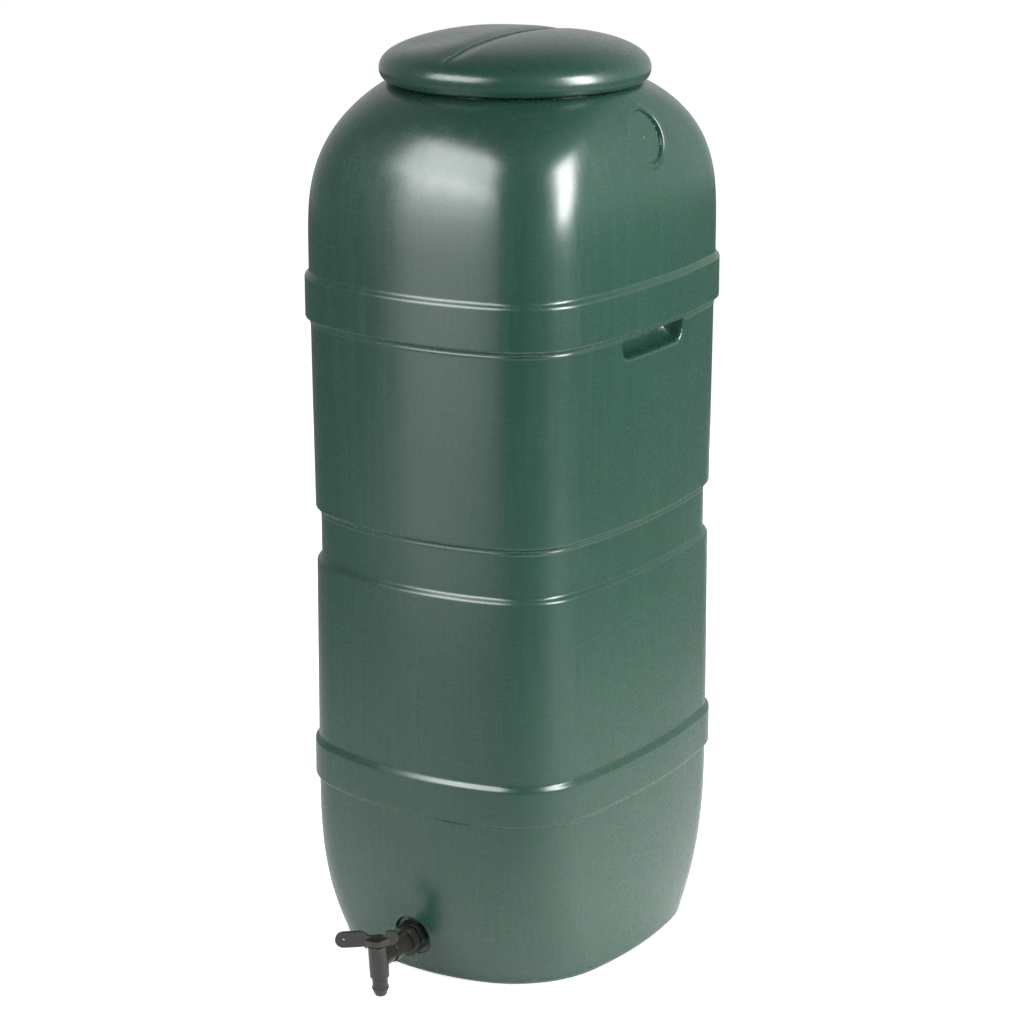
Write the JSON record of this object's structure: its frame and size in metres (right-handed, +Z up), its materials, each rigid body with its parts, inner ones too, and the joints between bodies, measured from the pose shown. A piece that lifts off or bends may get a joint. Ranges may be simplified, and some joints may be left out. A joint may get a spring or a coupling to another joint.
{
  "type": "rain barrel",
  "caption": "Slim rain barrel with bowed rectangular section, domed shoulder, raised bands, round lift-off lid and a quarter-turn lever tap with hose tail.",
  "frame": {"origin": "centre of the base, on the plane it stands on", "axes": "+Z up, -Y out of the side that has the tap, X across the side with the grips and connector pads"},
  "size_m": [0.349, 0.4884, 0.9646],
  "materials": {
    "green_plastic": "semi-gloss moulded polyethylene, dark green",
    "green_plastic_lid": "semi-gloss moulded polyethylene, dark green",
    "black_plastic": "satin black moulded plastic",
    "rubber": "matte black rubber"
  },
  "bodies": {
    "barrel": {"barrel_shell": "green_plastic", "outer_washer": "rubber", "inner_washer": "rubber", "tank_connector": "black_plastic", "connector_nut": "black_plastic", "spigot_seal": "rubber", "tap_body": "black_plastic", "plug_retainer": "black_plastic"},
    "lid": {"lid": "green_plastic_lid"},
    "tap_valve": {"tap_plug": "black_plastic", "plug_o_rings": "rubber", "tap_lever": "black_plastic"}
  },
  "joints": [
    {"name": "lid_lift", "type": "slide", "parent": "barrel", "child": "lid", "axis": [0, 0, 1], "range_m": [0, 0.1]},
    {"name": "tap_turn", "type": "hinge", "parent": "barrel", "child": "tap_valve", "pos_m": [0, -0.25225, 0.03983], "axis": [0, -0.0872, 0.9962], "range_deg": [-33.7, 56.3]}
  ]
}
